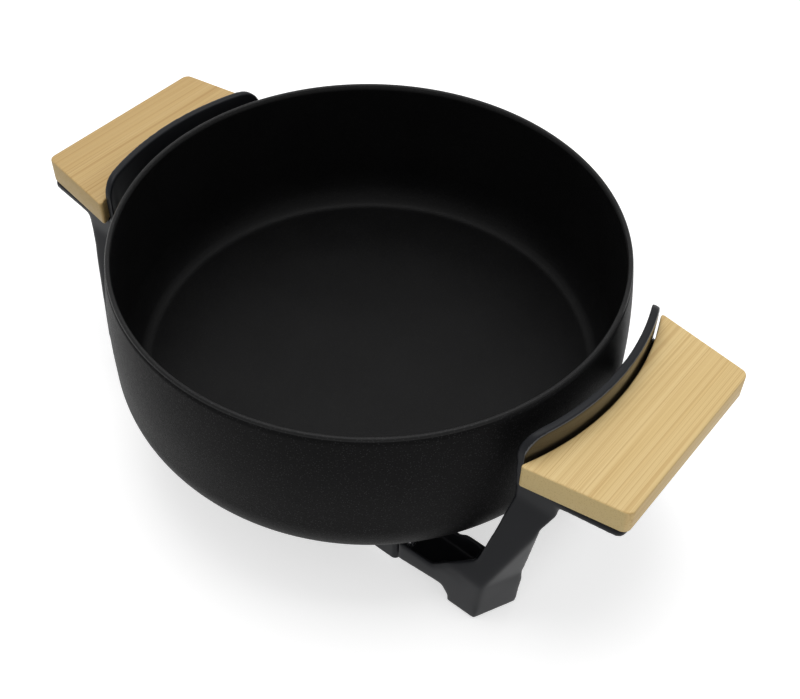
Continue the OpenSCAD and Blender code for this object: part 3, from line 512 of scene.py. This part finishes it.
def coat_pan(mesh):
    """Gives the pan's inside and its lip their own finish."""
    low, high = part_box("pan")
    lip_z = high.z - PAN_WALL / 2
    inside_z = low.z + PAN_RING_H + PAN_FLOOR / 2
    inner_index = added_material(mesh, INNER_COATING)
    lip_index = added_material(mesh, LIP_COATING)
    for polygon in mesh.polygons:
        inward = polygon.normal.z > PAN_FLOOR_FACING or polygon.normal.xy.dot(polygon.center.xy) < 0
        if polygon.center.z > lip_z:
            polygon.material_index = lip_index
        elif inward and polygon.center.z > inside_z:
            polygon.material_index = inner_index


pan_mesh = lathe("pan_body", pan_profile(), PAN_TURNS)
new_piece("pan_body", pan_mesh, "pan", OUTER_COATING, "pan")
coat_pan(pan_mesh)


# Brackets

def grown_bracket():
    """Right bracket's CAD shape, with what the rounding of its edges takes away put on first."""
    mesh = welded_copy("right_bracket", "right_bracket_shell")
    shield_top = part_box("right_bracket")[1].z
    plate_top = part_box("right_grip")[0].z
    shield_r = min(v.co.xy.length for v in mesh.vertices if v.co.z > shield_top - ON_FACE)
    foot_r = max(v.co.xy.length for v in mesh.vertices if v.co.z < FOOT_TOP - ON_FACE)
    plate = [v for v in mesh.vertices if plate_top - PLATE_T - ON_FACE < v.co.z < plate_top + ON_FACE]
    plate_x = max(v.co.x for v in plate)
    for vertex in plate:
        share = max((vertex.co.x - PLATE_ROOT_X) / (plate_x - PLATE_ROOT_X), 0)
        if abs(vertex.co.y) > PLATE_END_Y:
            vertex.co.x += PLATE_GROWTH * share
            vertex.co.y += math.copysign(PLATE_GROWTH * share, vertex.co.y)
    for vertex in mesh.vertices:
        radius = vertex.co.xy.length
        if vertex.co.z > plate_top and abs(radius - shield_r) < ON_FACE:
            vertex.co.x = math.sqrt((shield_r - SHIELD_GROWTH) ** 2 - vertex.co.y ** 2)
        if FOOT_TOP - ON_FACE < vertex.co.z < KNEE_Z + ON_FACE and radius > foot_r - ON_FACE:
            vertex.co.x += KNEE_GROWTH
    return mesh


def rise(value, start, length):
    """Share from 0 to 1 of the way from a start over a length."""
    return min(max((value - start) / length, 0), 1)


def bracket_mesh():
    """Right bracket with the soft edges and fillets of a moulding."""
    upper_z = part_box("right_grip")[0].z - UPPER_DROP

    def edge_weight(place):
        lower = max(rise(place.z, SOLE_Z, SOLE_H), SOLE_EDGE_SHARE)
        return lower if place.z < upper_z else UPPER_EDGE_SHARE

    def leg_weight(place):
        return rise(upper_z - place.z, 0, LEG_HEAD_H) * rise(place.z, LEG_FOOT_Z, LEG_FOOT_H)

    def knee_weight(place):
        near = max(1 - abs(place.z - KNEE_Z) / KNEE_REACH, 0)
        return near if place.x > KNEE_IN_X else 0

    remesh = {"mode": "VOXEL", "voxel_size": BRACKET_VOXEL, "adaptivity": 0.0}
    passes = ((BRACKET_ROUNDS, edge_weight), (LEG_ROUNDS, leg_weight), (KNEE_ROUNDS, knee_weight))
    mesh = applied(grown_bracket(), ("REMESH", remesh))
    for rounds, weight in passes:
        smooth = {"factor": ROUND_FACTOR, "iterations": rounds, "vertex_group": "weight"}
        mesh = applied(mesh, ("SMOOTH", smooth), weight=weight)
    return shade_smooth(applied(mesh, ("DECIMATE", {"ratio": BRACKET_SHARE})))


def polish_shield(mesh):
    """Gives the shield's face behind the grip its glossier finish."""
    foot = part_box("right_grip")[0].z + GLOSS_FOOT
    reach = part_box("pan")[1].x + GLOSS_REACH
    gloss_index = added_material(mesh, SHIELD)
    for polygon in mesh.polygons:
        outward = polygon.normal.xy.dot(polygon.center.xy.normalized())
        if polygon.center.z > foot and polygon.center.xy.length < reach and outward > GLOSS_FACING:
            polygon.material_index = gloss_index


right_shell = bracket_mesh()
left_shell = mirrored(right_shell, "left_bracket_shell")
for side, shell in (("right", right_shell), ("left", left_shell)):
    new_piece(side + "_bracket_shell", shell, "stand", STAND, side + "_bracket")
    polish_shield(shell)


# Grips

def grip_mesh(node, name):
    """Grip with its rounded inner corners and its eased edges, drawn close to the shield."""
    mesh = welded_copy(node, name)
    mesh = applied(mesh, ("DECIMATE", {"decimate_type": "DISSOLVE", "angle_limit": FLAT_ANGLE}))
    build = bmesh.new()
    build.from_mesh(mesh)
    hollow_r = min(v.co.xy.length for v in build.verts)
    for vertex in build.verts:
        if vertex.co.xy.length < hollow_r + ON_FACE:
            closer = math.sqrt((hollow_r - GRIP_GROWTH) ** 2 - vertex.co.y ** 2)
            vertex.co.x = math.copysign(closer, vertex.co.x)
    end_y = max(abs(v.co.y) for v in build.verts) - AT_END
    corners = [e for e in build.edges if all(abs(v.co.y) > end_y for v in e.verts)
               and (e.verts[0].co - e.verts[1].co).xy.length < SAME_PLACE]
    bmesh.ops.bevel(build, geom=corners, offset=GRIP_CORNER, segments=6, profile=0.5, affect="EDGES")
    build.to_mesh(mesh)
    build.free()
    bevel = {"width": GRIP_EDGE, "segments": 5, "limit_method": "ANGLE", "angle_limit": SHARP_ANGLE,
             "harden_normals": True, "use_clamp_overlap": False}
    return shade_smooth(applied(mesh, ("BEVEL", bevel)))


for side, material in (("right", RIGHT_BAMBOO), ("left", LEFT_BAMBOO)):
    grip = grip_mesh(side + "_grip", side + "_bamboo_grip")
    new_piece(side + "_bamboo_grip", grip, "stand", material, side + "_grip")


# Pieces that keep their CAD shape

KEPT = {
    "base_housing": (STAND, HOUSING_EDGE),
    "base_cover": (SHEET_STEEL, FINE_EDGE),
    "grip_screws": (SCREW_STEEL, FINE_EDGE),
    "bracket_screws": (SCREW_STEEL, FINE_EDGE),
    "cover_screws": (SCREW_STEEL, FINE_EDGE),
    "plate_screws": (SCREW_STEEL, FINE_EDGE),
    "inlet_screws": (SCREW_STEEL, FINE_EDGE),
    "clamp_screw": (SCREW_STEEL, FINE_EDGE),
    "front_right_foot_pad": (RUBBER, HOUSING_EDGE),
    "front_left_foot_pad": (RUBBER, HOUSING_EDGE),
    "rear_right_foot_pad": (RUBBER, HOUSING_EDGE),
    "rear_left_foot_pad": (RUBBER, HOUSING_EDGE),
    "hot_plate": (HOT_PLATE, HOUSING_EDGE),
    "plate_seal": (SILICONE, FINE_EDGE),
    "heating_element": (HEATER_STEEL, 0),
    "element_end_seals": (CERAMIC, FINE_EDGE),
    "heat_reflector": (REFLECTOR, 0),
    "plate_spacers": (SHEET_STEEL, FINE_EDGE),
    "inlet_socket": (SOCKET, SOCKET_EDGE),
    "live_pin": (BRASS, 0),
    "neutral_pin": (BRASS, 0),
    "earth_spring": (BRASS, FINE_EDGE),
    "thermal_fuse": (CERAMIC, FINE_EDGE),
    "fuse_clamp": (SHEET_STEEL, 0),
    "live_lead": (BROWN_WIRE, 0),
    "fuse_lead": (BROWN_WIRE, 0),
    "earth_lead": (GREEN_WIRE, 0),
    "neutral_strip": (BRASS, FINE_EDGE),
    "earth_terminal": (BRASS, FINE_EDGE),
}
for node, (material, edge) in KEPT.items():
    nodes[node].data.materials.clear()
    nodes[node].data.materials.append(material)
    if edge:
        edge_bevel(node, edge)


# Camera

def add_camera():
    """Camera with the photograph's view."""
    level = math.cos(CAMERA_ELEVATION)
    back = Vector((math.sin(CAMERA_AZIMUTH) * level, -math.cos(CAMERA_AZIMUTH) * level,
                   math.sin(CAMERA_ELEVATION)))
    right = Vector((math.cos(CAMERA_AZIMUTH), math.sin(CAMERA_AZIMUTH), 0))
    up = back.cross(right)
    across = right * math.cos(CAMERA_ROLL) + up * math.sin(CAMERA_ROLL)
    above = up * math.cos(CAMERA_ROLL) - right * math.sin(CAMERA_ROLL)
    data = bpy.data.cameras.new("camera")
    data.lens = CAMERA_LENS
    data.sensor_width = CAMERA_SENSOR
    camera = bpy.data.objects.new("camera", data)
    bpy.context.scene.collection.objects.link(camera)
    axes = Matrix((across, above, back)).transposed().to_4x4()
    camera.matrix_world = Matrix.Translation(CAMERA_PLACE) @ axes
    bpy.context.scene.camera = camera


add_camera()


# Floor and light

def seen_rays(tree):
    """Socket that is 1 for rays from the camera and for mirrored or refracted ones."""
    rays = tree.nodes.new("ShaderNodeLightPath")
    seen = rays.outputs["Is Camera Ray"]
    for kind in ("Is Glossy Ray", "Is Transmission Ray"):
        either = tree.nodes.new("ShaderNodeMath")
        either.operation = "MAXIMUM"
        tree.links.new(seen, either.inputs[0])
        tree.links.new(rays.outputs[kind], either.inputs[1])
        seen = either.outputs[0]
    return seen


def by_rays(tree, hidden, seen):
    """Socket with one strength for the rays that light the object and another for seen ones."""
    strength = tree.nodes.new("ShaderNodeMapRange")
    strength.inputs["To Min"].default_value = hidden
    strength.inputs["To Max"].default_value = seen
    tree.links.new(seen_rays(tree), strength.inputs["Value"])
    return strength.outputs["Result"]


def add_floor(colour, lift):
    """Plain white floor that keeps the object's soft shadow."""
    mesh = bpy.data.meshes.new("floor")
    half = 6.0
    corners = [(-half, -half, 0), (half, -half, 0), (half, half, 0), (-half, half, 0)]
    mesh.from_pydata(corners, [], [(0, 1, 2, 3)])
    floor = bpy.data.objects.new("floor", mesh)
    bpy.context.scene.collection.objects.link(floor)
    material = bpy.data.materials.new("floor")
    material.use_nodes = True
    tree = material.node_tree
    tree.nodes.clear()
    matte = tree.nodes.new("ShaderNodeBsdfDiffuse")
    matte.inputs["Color"].default_value = (colour, colour, colour, 1)
    glow = tree.nodes.new("ShaderNodeEmission")
    total = tree.nodes.new("ShaderNodeAddShader")
    output = tree.nodes.new("ShaderNodeOutputMaterial")
    tree.links.new(by_rays(tree, 0.0, lift), glow.inputs["Strength"])
    tree.links.new(matte.outputs[0], total.inputs[0])
    tree.links.new(glow.outputs[0], total.inputs[1])
    tree.links.new(total.outputs[0], output.inputs["Surface"])
    mesh.materials.append(material)


def add_softbox(name, place, target, size, power):
    """Area lamp at a place, turned to a target."""
    data = bpy.data.lights.new(name, "AREA")
    data.shape = "RECTANGLE"
    data.size, data.size_y = size
    data.energy = power
    lamp = bpy.data.objects.new(name, data)
    bpy.context.scene.collection.objects.link(lamp)
    lamp.location = place
    lamp.rotation_euler = (Vector(target) - Vector(place)).to_track_quat("-Z", "Y").to_euler()


def add_world(strength):
    """Even pale surroundings, white where they are seen."""
    world = bpy.data.worlds.new("studio")
    world.use_nodes = True
    backdrop = world.node_tree.nodes["Background"]
    backdrop.inputs["Color"].default_value = (1, 1, 1, 1)
    world.node_tree.links.new(by_rays(world.node_tree, strength, 1.0), backdrop.inputs["Strength"])
    bpy.context.scene.world = world


add_floor(colour=0.76, lift=0.58)
add_world(strength=0.55)
add_softbox("overhead", place=(-0.16, 0.2, 1.3), target=(0, 0, 0.1), size=(1.0, 1.0), power=8.5)
bpy.context.scene.view_settings.view_transform = "Standard"
